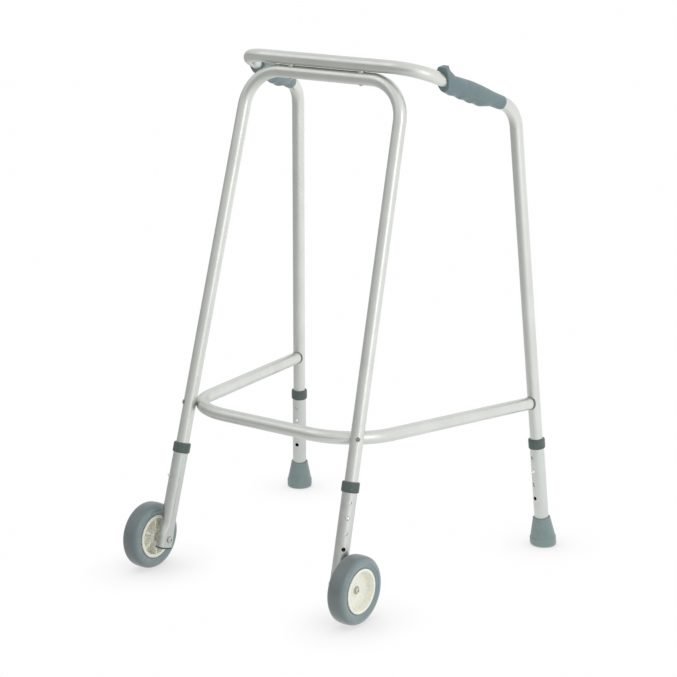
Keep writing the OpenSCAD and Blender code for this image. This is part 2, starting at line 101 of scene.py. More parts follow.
def handle_frame(side):
    """Z runs back along the handle from the crossbar's corner, X is up and Y is outwards."""
    mirror = Vector((SIDES[side], 1, 1))
    start = Vector(CROSSBAR_CORNER) * mirror
    z = (Vector(HANDLE_CORNER) * mirror - start).normalized()
    x = Vector((0, 0, 1))
    x = (x - z * x.dot(z)).normalized()
    y = z.cross(x) * -SIDES[side]
    return axes(x, y, z, start * MM)


# ---- Meshes ----

def new_object(name, mesh):
    obj = bpy.data.objects.new(name, mesh)
    bpy.context.scene.collection.objects.link(obj)
    return obj


def rounded(points, steps=5):
    """Outline through (x, y, radius) points, each corner turned into an arc of its radius."""
    out = []
    count = len(points)
    for i, (x, y, r) in enumerate(points):
        p = Vector((x, y))
        if r == 0:
            out.append((x, y))
            continue
        a = Vector(points[i - 1][:2]) - p
        b = Vector(points[(i + 1) % count][:2]) - p
        half = a.angle(b) / 2
        cut = min(r / math.tan(half), 0.49 * a.length, 0.49 * b.length)
        radius = cut * math.tan(half)
        centre = p + (a.normalized() + b.normalized()).normalized() * radius / math.sin(half)
        start = p + a.normalized() * cut - centre
        end = p + b.normalized() * cut - centre
        sweep = start.angle_signed(end)
        for k in range(steps + 1):
            q = centre + Matrix.Rotation(-sweep * k / steps, 2) @ start
            out.append((q.x, q.y))
    return out


def skin(name, rings, closed=False):
    """Surface through rings of points. A ring of one point is a tip, and closed joins both ends."""
    bm = bmesh.new()
    made = [[bm.verts.new(p) for p in ring] for ring in rings]
    pairs = list(zip(made, made[1:]))
    if closed:
        pairs.append((made[-1], made[0]))
    for a, b in pairs:
        n = max(len(a), len(b))
        for i in range(n):
            j = (i + 1) % n
            corners = [a[i % len(a)], a[j % len(a)], b[j % len(b)], b[i % len(b)]]
            bm.faces.new(list(dict.fromkeys(corners)))
    bmesh.ops.recalc_face_normals(bm, faces=bm.faces)
    mesh = bpy.data.meshes.new(name)
    bm.to_mesh(mesh)
    bm.free()
    return new_object(name, mesh)


def capped(name, first, rings, last):
    """Surface through rings, closed by a point at each end."""
    return skin(name, [[Vector(first)]] + rings + [[Vector(last)]])


def rectangle(x0, x1, half, z):
    return [Vector((x0, -half, z)), Vector((x1, -half, z)), Vector((x1, half, z)), Vector((x0, half, z))]


def signed_power(value, exponent):
    return math.copysign(abs(value) ** exponent, value)


def circle(r, z, steps=96):
    turn = 2 * math.pi / steps
    return [Vector((r * math.cos(turn * i), r * math.sin(turn * i), z)) for i in range(steps)]


def lathe(name, outline, steps=96, closed=True):
    """Solid of revolution about Z of an (r, z) outline. An open outline starts and ends on the axis."""
    rings = [circle(r, z, steps) if r > 1e-6 else [Vector((0, 0, z))] for r, z in outline]
    return skin(name, rings, closed)


def finish_shape(obj, angle=35):
    """Smooth shading with edges sharper than the angle kept."""
    mesh = obj.data
    for p in mesh.polygons:
        p.use_smooth = True
    mesh.set_sharp_from_angle(angle=math.radians(angle))
    return obj


def apply_modifiers(obj):
    graph = bpy.context.evaluated_depsgraph_get()
    mesh = bpy.data.meshes.new_from_object(obj.evaluated_get(graph))
    obj.modifiers.clear()
    obj.data = mesh
    return obj


def combine(obj, tools, operation):
    """Boolean of obj with the tools, which are used up."""
    for tool in tools:
        m = obj.modifiers.new("cut", "BOOLEAN")
        m.object = tool
        m.operation = operation
        m.solver = "EXACT"
    apply_modifiers(obj)
    for tool in tools:
        bpy.data.objects.remove(tool)
    return obj


def place(obj, matrix):
    obj.data.transform(matrix)
    if matrix.determinant() < 0:
        obj.data.flip_normals()
    obj.data.update()
    return obj


def rod(r, z0, z1, matrix=Matrix(), steps=48):
    obj = lathe("rod", [(0, z0), (r, z0), (r, z1), (0, z1)], steps, closed=False)
    return place(obj, matrix)


def add(obj, body, slot, material, *nodes):
    """Finishes a piece: its material, its body and the CAD nodes that it stands for. The slot is not used."""
    obj.data.materials.clear()
    obj.data.materials.append(material)
    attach(obj, body)
    if nodes:
        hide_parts(*nodes)
    return obj


# ---- Materials ----

def node_material(name):
    mat = bpy.data.materials.new(name)
    mat.use_nodes = True
    tree = mat.node_tree
    return mat, tree, tree.nodes["Principled BSDF"]


def noise(tree, scale, detail=3, rough=0.5, stretch=(1, 1, 1)):
    """Noise of the object's own coordinates; scale is in cycles a metre."""
    coord = tree.nodes.new("ShaderNodeTexCoord")
    mapping = tree.nodes.new("ShaderNodeMapping")
    mapping.inputs["Scale"].default_value = stretch
    tex = tree.nodes.new("ShaderNodeTexNoise")
    tex.inputs["Scale"].default_value = scale
    tex.inputs["Detail"].default_value = detail
    tex.inputs["Roughness"].default_value = rough
    tree.links.new(coord.outputs["Object"], mapping.inputs["Vector"])
    tree.links.new(mapping.outputs["Vector"], tex.inputs["Vector"])
    return tex.outputs["Fac"]


def ramp(tree, value, low, high, start=0.35, end=0.65):
    """Maps a value from start..end to low..high, which are numbers."""
    node = tree.nodes.new("ShaderNodeMapRange")
    node.inputs["From Min"].default_value = start
    node.inputs["From Max"].default_value = end
    node.inputs["To Min"].default_value = low
    node.inputs["To Max"].default_value = high
    tree.links.new(value, node.inputs["Value"])
    return node.outputs["Result"]


def mix(tree, factor, a, b, kind="FLOAT"):
    """Blends from a to b, each a socket or a plain value."""
    node = tree.nodes.new("ShaderNodeMix")
    node.data_type = kind
    tree.links.new(factor, node.inputs["Factor"])
    for socket, value in ((node.inputs["A"], a), (node.inputs["B"], b)):
        if hasattr(value, "links"):
            tree.links.new(value, socket)
        else:
            socket.default_value = (*value, 1) if kind == "RGBA" else value
    return node.outputs["Result"]


def mix_colour(tree, factor, a, b):
    return mix(tree, factor, a, b, "RGBA")


def vector_math(tree, operation, vector, other=(0, 0, 0)):
    node = tree.nodes.new("ShaderNodeVectorMath")
    node.operation = operation
    node.inputs[1].default_value = other
    tree.links.new(vector, node.inputs[0])
    return node.outputs["Value" if operation in ("DOT_PRODUCT", "LENGTH") else "Vector"]


def bump(tree, height, distance, strength=1.0, under=None):
    node = tree.nodes.new("ShaderNodeBump")
    node.inputs["Distance"].default_value = distance
    node.inputs["Strength"].default_value = strength
    tree.links.new(height, node.inputs["Height"])
    if under:
        tree.links.new(under, node.inputs["Normal"])
    return node.outputs["Normal"]


def satin_metal(name, light, dark, rough, grain=1400, depth=0.000003):
    """Anodised or plated metal: cloudy tone, uneven gloss and a fine grain."""
    mat, tree, shader = node_material(name)
    cloud = noise(tree, 18, 4, 0.6)
    fine = noise(tree, grain, 2)
    colour = mix_colour(tree, ramp(tree, cloud, 0, 1), light, dark)
    tree.links.new(colour, shader.inputs["Base Color"])
    shader.inputs["Metallic"].default_value = 1
    gloss = ramp(tree, noise(tree, 55, 4, 0.65), rough - 0.05, rough + 0.06)
    tree.links.new(gloss, shader.inputs["Roughness"])
    tree.links.new(bump(tree, fine, depth), shader.inputs["Normal"])
    return mat


DUST = (0.75, 0.76, 0.74)


def moulded(name, light, dark, rough, grain=1500, depth=0.00006, sheen=0.0, specular=0.5, scatter=0.0):
    """Moulded plastic or rubber: slight mottling, a matt texture and a softer sheen at its edges."""
    mat, tree, shader = node_material(name)
    cloud = noise(tree, 60, 5, 0.6)
    colour = mix_colour(tree, ramp(tree, cloud, 0, 1, 0.3, 0.7), light, dark)
    dust = noise(tree, 420, 3, 0.7)
    colour = mix_colour(tree, ramp(tree, dust, 0, 0.12, 0.55, 0.8), colour, DUST)
    tree.links.new(colour, shader.inputs["Base Color"])
    tree.links.new(ramp(tree, cloud, rough - 0.06, rough + 0.06), shader.inputs["Roughness"])
    shader.inputs["Specular IOR Level"].default_value = specular
    shader.inputs["Sheen Weight"].default_value = sheen
    shader.inputs["Sheen Roughness"].default_value = 0.5
    shader.inputs["Subsurface Weight"].default_value = scatter
    shader.inputs["Subsurface Scale"].default_value = 0.002
    waves = bump(tree, noise(tree, 140, 2), 0.00012, 0.5)
    tree.links.new(bump(tree, noise(tree, grain, 2), depth, 1.0, waves), shader.inputs["Normal"])
    return mat


TUBE = satin_metal("satin_aluminium", (0.66, 0.678, 0.638), (0.62, 0.637, 0.6), 0.33)
SLEEVE = satin_metal("satin_sleeve", (0.605, 0.628, 0.606), (0.57, 0.592, 0.57), 0.32)
ZINC = satin_metal("zinc_plate", (0.66, 0.67, 0.65), (0.56, 0.57, 0.55), 0.42)
RIVET = satin_metal("dull_aluminium", (0.3, 0.31, 0.3), (0.25, 0.26, 0.25), 0.42)
SPRING = satin_metal("spring_steel", (0.5, 0.51, 0.52), (0.42, 0.43, 0.44), 0.3)
BUTTON = satin_metal("bright_plate", (0.85, 0.85, 0.83), (0.8, 0.8, 0.79), 0.16)
GRIP = moulded("grip_plastic", (0.142, 0.205, 0.22), (0.122, 0.178, 0.192), 0.46, 1900, 0.00009, 0.1)
COLLAR = moulded("collar_nylon", (0.073, 0.102, 0.093), (0.06, 0.085, 0.077), 0.42)
FERRULE = moulded("ferrule_rubber", (0.19, 0.25, 0.25), (0.165, 0.22, 0.22), 0.55, 1200, 0.0001, 0.2)
TYRE = moulded("tyre_rubber", (0.19, 0.25, 0.257), (0.165, 0.22, 0.227), 0.3, 1300, 0.00003, 0.1, 0.7)
HUB = moulded("hub_plastic", (0.81, 0.815, 0.725), (0.765, 0.765, 0.67), 0.42, 1000, 0.00003, 0, 0.5, 0.15)
SADDLE = moulded("saddle_nylon", (0.13, 0.165, 0.16), (0.11, 0.14, 0.135), 0.5)
PLUG = moulded("plug_plastic", (0.03, 0.045, 0.04), (0.022, 0.033, 0.03), 0.5)
SPACER = moulded("spacer_nylon", (0.52, 0.49, 0.38), (0.45, 0.42, 0.33), 0.45)


def darken_tread_tone_and_shade(mat, colour, start, end):
    """Turns a wheel's material to this colour between two distances from the axle, in millimetres: a darker tread
    that is partly the rubber's own tone and partly painted shade.
    """
    tree = mat.node_tree
    base = tree.nodes["Principled BSDF"].inputs["Base Color"]
    coord = tree.nodes.new("ShaderNodeTexCoord")
    arm = vector_math(tree, "SUBTRACT", coord.outputs["Object"], wheel_centre("left"))
    reach = vector_math(tree, "LENGTH", vector_math(tree, "MULTIPLY", arm, (0, 1, 1)))
    share = ramp(tree, reach, 0, 1, start * MM, end * MM)
    tree.links.new(mix_colour(tree, share, base.links[0].from_socket, colour), base)


# Both wheels stand on one axle line, so this holds for either tyre. The darker tread is partly the rubber's own
# tone and partly painted shade.
darken_tread_tone_and_shade(TYRE, (0.118, 0.147, 0.15), 50, 57.3)

FINISHES = {
    "tube": TUBE, "sleeve": SLEEVE, "grip": GRIP, "collar": COLLAR, "ferrule": FERRULE,
    "tyre": TYRE, "hub": HUB, "saddle": SADDLE, "plug": PLUG, "bush": PLUG, "zinc": ZINC,
    "rivet": RIVET, "spring": SPRING, "button": BUTTON, "spacer": SPACER,
}


def finish_cad_nodes():
    slots = {p["node"]: p["material_slot"] for p in frame["record"]["subparts"]}
    for name, obj in frame["nodes"].items():
        obj.data.materials.clear()
        obj.data.materials.append(FINISHES[slots[name]])


# ---- Grips ----

# Section of the grip along the handle: distance from the crossbar's corner, then how far the skin
# stands above, below and beside the handle's axis
GRIP_SECTIONS = [
    (50, 13.2, 18.6, 15), (88, 13.4, 18.6, 15.2), (106, 14.4, 18.4, 15.6), (127, 15.5, 18.8, 16),
    (150, 15, 18.4, 15.8), (166, 14.1, 17.6, 15), (176, 13.1, 15.2, 14), (184, 12.6, 12.9, 13),
    (190, 12.4, 12.4, 12.5), (206, 12.1, 12.1, 12.1), (210, 11.9, 11.9, 11.9), (211, 11.5, 11.5, 11.5),
]
GRIP_STATIONS = 120
GRIP_VOXEL = 0.8
GRIP_SOFTENING = 9
GRIP_BUMPS = [(88, 1.4), (112, 1.6), (135, 1.6), (158, 1.4)]   # place and height of each finger bump
BUMP_WIDTH = 7
LEAN_FOOT = 64          # where the grip's slanted front end crosses the handle's axis
LEAN_SLOPE = 0.5        # and how far it leans forward for each millimetre of height
CREST = (18, 0, 55)     # a point on the plane of the thumb stop's crest
CREST_SLOPE = 0.75      # and the crest's rise for each millimetre back

# Section of the thumb stop: height above the axis, its back, and half its width at the back and front
THUMB_STOP = [
    (6, 86, 15, 14), (12, 81, 14, 12.5), (14.2, 77.5, 13, 11.5), (15.8, 73.5, 11.5, 10.5),
    (18, 70, 10, 9.6), (21, 67, 9.2, 9), (23.4, 65.6, 8.8, 8.8), (25, 64.6, 8.4, 8.4),
]
THUMB_STOP_FRONT = 40
THUMB_STOP_CORNER = 0.6   # below 1, its sections are rounded rectangles rather than ellipses


def blend_rows(rows, s):
    """Reads a table of rows, sorted by their first value, at s, as a smooth curve through them."""
    for i, (a, b) in enumerate(zip(rows, rows[1:])):
        if s <= b[0]:
            before, after = rows[max(0, i - 1)], rows[min(len(rows) - 1, i + 2)]
            t = (s - a[0]) / (b[0] - a[0])
            out = []
            for u, v, w, x in zip(before[1:], a[1:], b[1:], after[1:]):
                start, end = (w - u) / 2, (x - v) / 2
                square = 3 * (w - v) - 2 * start - end
                cube = 2 * (v - w) + start + end
                out.append(v + t * start + t * t * square + t ** 3 * cube)
            return out
    return list(rows[-1][1:])


def grip_ring(s, steps=72):
    top, under, side = blend_rows(GRIP_SECTIONS, s)
    ring = []
    for i in range(steps):
        a = 2 * math.pi * i / steps
        up, out = math.cos(a), math.sin(a)
        bulge = sum(h * math.exp(-((s - c) / BUMP_WIDTH) ** 2) for c, h in GRIP_BUMPS)
        bulge *= max(0, -up) ** 2
        height = top if up > 0 else under + bulge
        ring.append(Vector((height * up, side * out, s)))
    return ring


def thumb_stop(steps=40):
    """Fin at the grip's front end, before its front and its crest are cut."""
    rings = []
    for up, back, wide_back, wide_front in THUMB_STOP:
        middle, reach = (back + THUMB_STOP_FRONT) / 2, (back - THUMB_STOP_FRONT) / 2
        ring = []
        for i in range(steps):
            a = math.tau * i / steps
            c, q = math.cos(a), math.sin(a)
            half = wide_front + (wide_back - wide_front) * (c + 1) / 2
            ring.append(Vector((up, half * signed_power(q, THUMB_STOP_CORNER),
                                middle + reach * signed_power(c, THUMB_STOP_CORNER))))
        rings.append(ring)
    return capped("fin", (6, 0, 62), rings, (25, 0, 50))


def slab(origin, normal, size=70, depth=60):
    """Thick plate that fills the side of a plane that its normal points to, square to the XZ plane."""
    n = Vector(normal).normalized()
    side = Vector((0, 1, 0))
    along = n.cross(side)
    rings = []
    for d in (0, depth):
        rings.append([Vector(origin) + n * d + (side * a + along * b) * size
                      for a, b in ((-1, -1), (1, -1), (1, 1), (-1, 1))])
    first, last = (sum(ring, Vector()) / 4 for ring in rings)
    return capped("slab", first, rings, last)


def handle_cutter():
    """The handle's tube, a hair wider: what the grip's bore follows."""
    return capped("cutter", (0, 0, 30), [circle(TUBE_R + 0.12, s, 64) for s in (30, 60, 230)], (0, 0, 230))


def make_grip(side):
    first, last = GRIP_SECTIONS[0][0], GRIP_SECTIONS[-1][0]
    stations = [first + (last - first) * i / GRIP_STATIONS for i in range(GRIP_STATIONS + 1)]
    body = capped("body", (0, 0, first), [grip_ring(s) for s in stations], (0, 0, last))
    combine(body, [thumb_stop()], "UNION")
    front_end = slab((0, 0, LEAN_FOOT), (-LEAN_SLOPE, 0, -1))
    crest = slab(CREST, (1, 0, -CREST_SLOPE))
    combine(body, [front_end, crest], "DIFFERENCE")
    remesh = body.modifiers.new("remesh", "REMESH")
    remesh.mode = "VOXEL"
    remesh.voxel_size = GRIP_VOXEL
    soften = body.modifiers.new("soften", "SMOOTH")
    soften.factor = 0.5
    soften.iterations = GRIP_SOFTENING
    apply_modifiers(body)
    combine(body, [handle_cutter()], "DIFFERENCE")
    body.name = f"{side}_moulded_grip"
    place(body, handle_frame(side))
    finish_shape(body, 50)
    add(body, "frame", "grip", GRIP, f"{side}_grip")


# ---- Wheels ----

TYRE_R = 57.5
TYRE_HALF = 17
SHOULDER = 10
TREAD_CROWN = 0.4
TREAD_FLAT = 1.5
# Beads and sidewalls from the bore outwards, as (radius, distance from the middle, corner radius)
TYRE_WALL = [(34.6, 13.4, 0.5), (38.6, 13.4, 0.8), (40, 14.4, 1.2), (45, 16.3, 0.8), (45.7, 17, 0.4)]
# The hub's boss and web towards the leg, its rims, then the dish with its low boss, in the same form
HUB_OUTLINE = [
    (4.1, -16.4, 0.4), (10.6, -16.4, 1), (11.2, -3.2, 1.5), (31.2, -1.6, 1.5), (31.8, -15.4, 0.9),
    (37.5, -15.4, 0.8), (37.5, -13.6, 0.5), (34.6, -13, 0.5), (34.6, 13, 0.5), (37.5, 13.6, 0.5),
    (37.5, 15.4, 0.8), (32.8, 15.4, 0.9), (31.2, 3, 2), (11.5, 2.2, 1), (10.4, 3.9, 0.8), (4.1, 3.9, 0.4),
]
RIB_COUNT = 6
RIB_START, RIB_END = 9, 33.5
RIB_DRAFT = [(-13.6, 1.6), (-13.2, 1.9), (-1, 2.6)]   # height and half thickness, from the rib's edge in


def rib():
    """One rib from the boss to the rim, with drafted sides."""
    rings = [rectangle(RIB_START, RIB_END, half, z) for z, half in RIB_DRAFT]
    return capped("rib", (21, 0, RIB_DRAFT[0][0]), rings, (21, 0, RIB_DRAFT[-1][0]))


def make_hub(side):
    hub = lathe("hub", rounded(HUB_OUTLINE, 4), 96)
    ribs = [place(rib(), Matrix.Rotation(math.tau * i / RIB_COUNT, 4, "Z")) for i in range(RIB_COUNT)]
    combine(hub, ribs, "UNION")
    hub.name = f"{side}_moulded_hub"
    place(hub, wheel_frame(side))
    finish_shape(hub, 30)
    add(hub, f"{side}_wheel", "hub", HUB, f"{side}_wheel_hub")


def arc(x, y, r, start, end, steps=10):
    """Points of an outline along an arc, with angles in degrees."""
    turns = (math.radians(start + (end - start) * i / steps) for i in range(steps + 1))
    return [(x + r * math.cos(a), y + r * math.sin(a), 0) for a in turns]


def make_tyre(side):
    edge = TYRE_R - TREAD_CROWN - SHOULDER
    shoulder = arc(edge, TYRE_HALF - SHOULDER, SHOULDER, 90, 3)
    one_side = TYRE_WALL + shoulder + [(TYRE_R, TREAD_FLAT, 0)]
    other_side = [(r, -x, c) for r, x, c in reversed(one_side)]
    tyre = lathe(f"{side}_moulded_tyre", rounded(one_side + other_side, 4), 144)
    place(tyre, wheel_frame(side))
    finish_shape(tyre, 30)
    add(tyre, f"{side}_wheel", "tyre", TYRE, f"{side}_tyre")


# ---- Front lower tubes, pressed oval where the axle goes through ----

OVAL_WIDE = 15          # half its width across the axle
OVAL_DEEP = 10.4        # and along it
OVAL_SQUARENESS = 0.22
OVAL_END = 5
OVAL_START = 28.5       # below where the leg's tube ends when the leg is shortest
OVAL_RINGS = 26
OVAL_RING_PITCH = 2


def oval_share(z):
    """How much of the oval shape the tube has at height z above the axle."""
    t = min(1, max(0, (OVAL_START - z) / (OVAL_START - OVAL_END)))
    return t * t * (3 - 2 * t)


def oval_ring(side, r, z, steps=72):
    """Ring round the leg's axis, in the leg's frame, flattened along the axle near the leg's end."""
    inverse = leg_frame(side, "front").to_3x3().inverted()
    axle = inverse @ Vector((SIDES[side], 0, 0))
    axle.z = 0
    axle.normalize()
    across = Vector((0, 0, 1)).cross(axle)
    wall = SLEEVE_R - r
    share = oval_share(z)
    deep = r + (OVAL_DEEP - wall - r) * share
    wide = r + (OVAL_WIDE - wall - r) * share
    power = 1 - OVAL_SQUARENESS * share
    ring = []
    for i in range(steps):
        a = math.tau * i / steps
        c, q = signed_power(math.cos(a), power), signed_power(math.sin(a), power)
        ring.append(axle * deep * c + across * wide * q + Vector((0, 0, z)))
    return ring


def make_front_lower_tube(side):
    leg = leg_frame(side, "front")
    heights = [-FRONT_TUBE_TAIL + OVAL_RING_PITCH * i for i in range(OVAL_RINGS)]
    heights += [60, 90, 130, FRONT_TUBE_TOP]
    outer = [oval_ring(side, SLEEVE_R, z) for z in heights]
    inner = [oval_ring(side, SLEEVE_BORE_R, z) for z in reversed(heights)]
    tube = skin("tube", outer + inner, closed=True)
    cutters = []
    for n in range(HOLE_COUNT):
        up = Matrix.Translation((0, 0, FRONT_TOP_HOLE - n * HOLE_PITCH))
        cutters.append(rod(HOLE_R, 6, 20, up @ Matrix.Rotation(math.pi / 2, 4, "Y")))
    cutters.append(rod(AXLE_HOLE_R, -WHEEL_OFFSET - 25, -5, leg.inverted() @ wheel_frame(side)))
    combine(tube, cutters, "DIFFERENCE")
    tube.name = f"{side}_front_sleeve"
    place(tube, leg)
    finish_shape(tube, 35)
    add(tube, f"{side}_front_lower_leg", "sleeve", SLEEVE, f"{side}_front_lower_tube")


def make_end_plug(side):
    """Plug in the oval end, with a flange under the tube's edge."""
    z = -FRONT_TUBE_TAIL
    steps = [(SLEEVE_R - 1.6, z - 2.4), (SLEEVE_R + 0.2, z - 2.4), (SLEEVE_R + 0.6, z - 1.9),
             (SLEEVE_R + 0.6, z - 0.3), (SLEEVE_R + 0.3, z - 0.05), (SLEEVE_BORE_R - 0.1, z - 0.05),
             (SLEEVE_BORE_R - 0.1, z + 7), (SLEEVE_BORE_R - 1.5, z + 8)]
    rings = [oval_ring(side, r, h) for r, h in steps]
    plug = capped(f"{side}_moulded_plug", (0, 0, z - 2.2), rings, (0, 0, z + 8))
    place(plug, leg_frame(side, "front"))
    finish_shape(plug, 40)
    add(plug, f"{side}_front_lower_leg", "plug", PLUG, f"{side}_end_plug")


# ---- Axles ----

RECESS_DEPTH = 2.2


def cross_recess(top):
    """Two crossed tapered blades, for the recess in a screw's head."""
    low, high = top - RECESS_DEPTH, top + 1
    blades = []
    for turn in (0, 90):
        rings = [rectangle(-1, 1, 0.4, low), rectangle(-2.9, 2.9, 0.75, high)]
        blade = capped("blade", (0, 0, low), rings, (0, 0, high))
        blades.append(place(blade, Matrix.Rotation(math.radians(turn), 4, "Z")))
    return blades


def screw(name, head_r, head_h, shank_r, shank):
    """Pan-head screw: the head's flat side on z = 0 and the shank below it."""
    outline = [
        (0, -shank, 0), (shank_r - 0.5, -shank, 0), (shank_r, -shank + 0.6, 0), (shank_r, 0, 0.2),
        (head_r, 0, 0.3), (head_r, head_h * 0.35, 0.6), (head_r * 0.62, head_h, 2.5), (0, head_h, 0),
    ]
    obj = lathe(name, rounded(outline, 5), 48, closed=False)
    return combine(obj, cross_recess(head_h), "DIFFERENCE")


def hex_nut(name, flat, height, bore):
    """Nut with chamfered corners, on z = 0 and upwards, with a plain bore."""
    steps = 60
    chamfer = flat / 2 * 1.02
    sixth = math.pi / 3

    def hex_ring(z, limit):
        ring = []
        for i in range(steps):
            a = math.tau * i / steps
            reach = flat / 2 / math.cos((a + sixth / 2) % sixth - sixth / 2)
            r = min(reach, limit)
            ring.append(Vector((r * math.cos(a), r * math.sin(a), z)))
        return ring

    rings = [
        circle(bore, 0.4, steps), circle(bore + 0.5, 0, steps), hex_ring(0, chamfer), hex_ring(1, flat),
        hex_ring(height - 1, flat), hex_ring(height, chamfer), circle(bore + 0.5, height, steps),
        circle(bore, height - 0.5, steps),
    ]
    return skin(name, rings, closed=True)


def ring_washer(name, radius, z0, z1, bore_edge, edge):
    """Washer or spacer on the axle, with rounded edges."""
    outline = [(WASHER_BORE_R, z0, bore_edge), (radius, z0, edge),
               (radius, z1, edge), (WASHER_BORE_R, z1, bore_edge)]
    return lathe(name, rounded(outline, 3), 64)


BOLT_R = 4
HEAD_R = 4.6
HEAD_H = 3
HEAD_SEAT = 5.5         # height of the head's flat side, from the wheel's middle outwards
SOCKET_R = 2.6
SOCKET_DEPTH = 2.2
NUT_FLAT = 11
NUT_H = 3
BOLT_TIP = 0.6
WASHER_BORE_R = 4.1
WASHER_R = 6.8
WASHER_H = (4.2, 5.4)
SPACER_R = 7
SPACER_END = -16.8


def make_axle(side):
    body = f"{side}_front_lower_leg"
    wheel = wheel_frame(side)
    leg_face = -WHEEL_OFFSET - OVAL_DEEP - 0.3
    length = HEAD_SEAT - leg_face + NUT_H + BOLT_TIP
    bolt = screw(f"{side}_pan_head_bolt", HEAD_R, HEAD_H, BOLT_R, length)
    combine(bolt, [rod(SOCKET_R, -length - 1, SOCKET_DEPTH - length, steps=6)], "DIFFERENCE")
    place(bolt, wheel @ Matrix.Translation((0, 0, HEAD_SEAT)))
    finish_shape(bolt, 30)
    add(bolt, body, "zinc", ZINC, f"{side}_axle_bolt")

    nut = hex_nut(f"{side}_chamfered_nut", NUT_FLAT, NUT_H, BOLT_R + 0.02)
    place(nut, wheel @ Matrix.Translation((0, 0, leg_face)) @ Matrix.Rotation(math.pi, 4, "X"))
    finish_shape(nut, 30)
    add(nut, body, "zinc", ZINC, f"{side}_axle_nut")

    washer = ring_washer("washer", WASHER_R, *WASHER_H, 0.2, 0.3)
    spacer = ring_washer("spacer", SPACER_R, -WHEEL_OFFSET + OVAL_DEEP + 0.1, SPACER_END, 0.3, 0.6)
    place(washer, wheel)
    place(spacer, wheel)
    washer.name = f"{side}_axle_washer"
    spacer.name = f"{side}_axle_spacer"
    add(finish_shape(washer, 30), body, "spacer", SPACER)
    add(finish_shape(spacer, 30), body, "spacer", SPACER, f"{side}_axle_washers")


# ---- Rivets that hold the brace ----

def rivet_frame(side):
    """Frame at the crown of one CAD rivet, with Z out of the leg, and the rivet's length."""
    vertices = frame["nodes"]["brace_rivets"].data.vertices
    points = [v.co for v in vertices if v.co.x * SIDES[side] > 0]
    middle = sum(points, Vector()) / len(points)
    # From a rough start, this settles on the way in which the points spread most
    axis = Vector((SIDES[side] * 0.6, -0.8, 0))
    for _ in range(40):
        axis = sum(((p - middle) * (p - middle).dot(axis) for p in points), Vector()).normalized()
    x = axis.orthogonal().normalized()
    y = axis.cross(x)
    spans = []
    for way in (x, y, axis):
        reach = [(p - middle).dot(way) for p in points]
        spans.append((min(reach), max(reach)))
    centre = middle + x * sum(spans[0]) / 2 + y * sum(spans[1]) / 2 + axis * spans[2][1]
    return axes(x, y, axis, centre), (spans[2][1] - spans[2][0]) / MM


def make_rivet(side, *nodes):
    """Blind rivet: a domed flange with its broken stem sunk in the middle, and a bulged tail."""
    at, length = rivet_frame(side)
    outline = [
        (0, -length, 0), (2.6, -length, 0.6), (3.8, 1.8 - length, 0.8), (3.4, 3.4 - length, 0.6),
        (2.4, 4 - length, 0), (2.4, -1.8, 0), (3.9, -1.8, 0.2), (3.9, -1.3, 0.4), (2.7, 0, 0.8),
        (2.1, 0, 0.2), (1.9, -3, 0.2), (0, -2.9, 0),
    ]
    rivet = lathe(f"{side}_blind_rivet", rounded(outline, 4), 40, closed=False)
    place(rivet, at)
    add(finish_shape(rivet, 30), "frame", "rivet", RIVET, *nodes)


# ---- Washers between the two top bars ----

SCREW_HALF = 72.3
BAR_GAP = 0.7
FLANGE_R = 5.1
BAR_WASHER_R = 6.4


def make_bar_washer(side):
    """Saddle-shaped washer that fills the wedge between the bars, round the flange of a rivet nut."""
    washer = lathe("washer", [(FLANGE_R, -4), (BAR_WASHER_R, -4), (BAR_WASHER_R, 4), (FLANGE_R, 4)], 48)
    reach = TUBE_R + BAR_GAP / 2
    bars = []
    for z in (-reach, reach):
        along = Matrix.Translation((0, 0, z)) @ Matrix.Rotation(math.pi / 2, 4, "Y")
        bars.append(rod(TUBE_R + 0.04, -20, 20, along, 64))
    combine(washer, bars, "DIFFERENCE")
    washer.name = f"{side}_bar_washer"
    _, y, z = CROSSBAR_CORNER
    centre = Vector((SIDES[side] * SCREW_HALF, y, z - reach)) * MM
    place(washer, axes(Vector((1, 0, 0)), Vector((0, 1, 0)), Vector((0, 0, 1)), centre))
    add(finish_shape(washer, 30), "frame", "zinc", ZINC)


# ---- Clip springs ----


def make_clip(side, end):
    """The bent strip behind a button."""
    node = f"{side}_{end}_clip"
    clip = new_object(f"{side}_{end}_spring_clip", frame["nodes"][node].data.copy())
    add(clip, "frame", "spring", SPRING, node)
    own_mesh(clip)


# ---- Ferrules ----

FERRULE_OUTLINE = [
    # radius, height along the leg, corner radius, from the sole's middle to the bore's floor
    (0, 1.2, 0), (7, 1.2, 0.3), (7.6, 0, 0.3), (11, 0, 0.3), (11.5, 1.3, 0.3), (13, 1.3, 0.3),
    (13.6, 0, 0.3), (17, 0, 0.3), (17.5, 1.3, 0.3), (19, 1.3, 0.3), (19.6, 0, 0.3), (22.4, 0.1, 2.2),
    (23.5, 4, 2.5), (23.4, 15.2, 0.7), (22.3, 16.4, 0.8), (16, 48.5, 3), (15.6, 49.5, 0.6),
    (15.9, 51.8, 0.9), (12.85, 52, 0.6), (12.75, 6.6, 0.4), (0, 6.5, 0),
]
# Heights between which its rings turn from flat on the floor to square to the leg
TILT_START = 3
TILT_END = 17


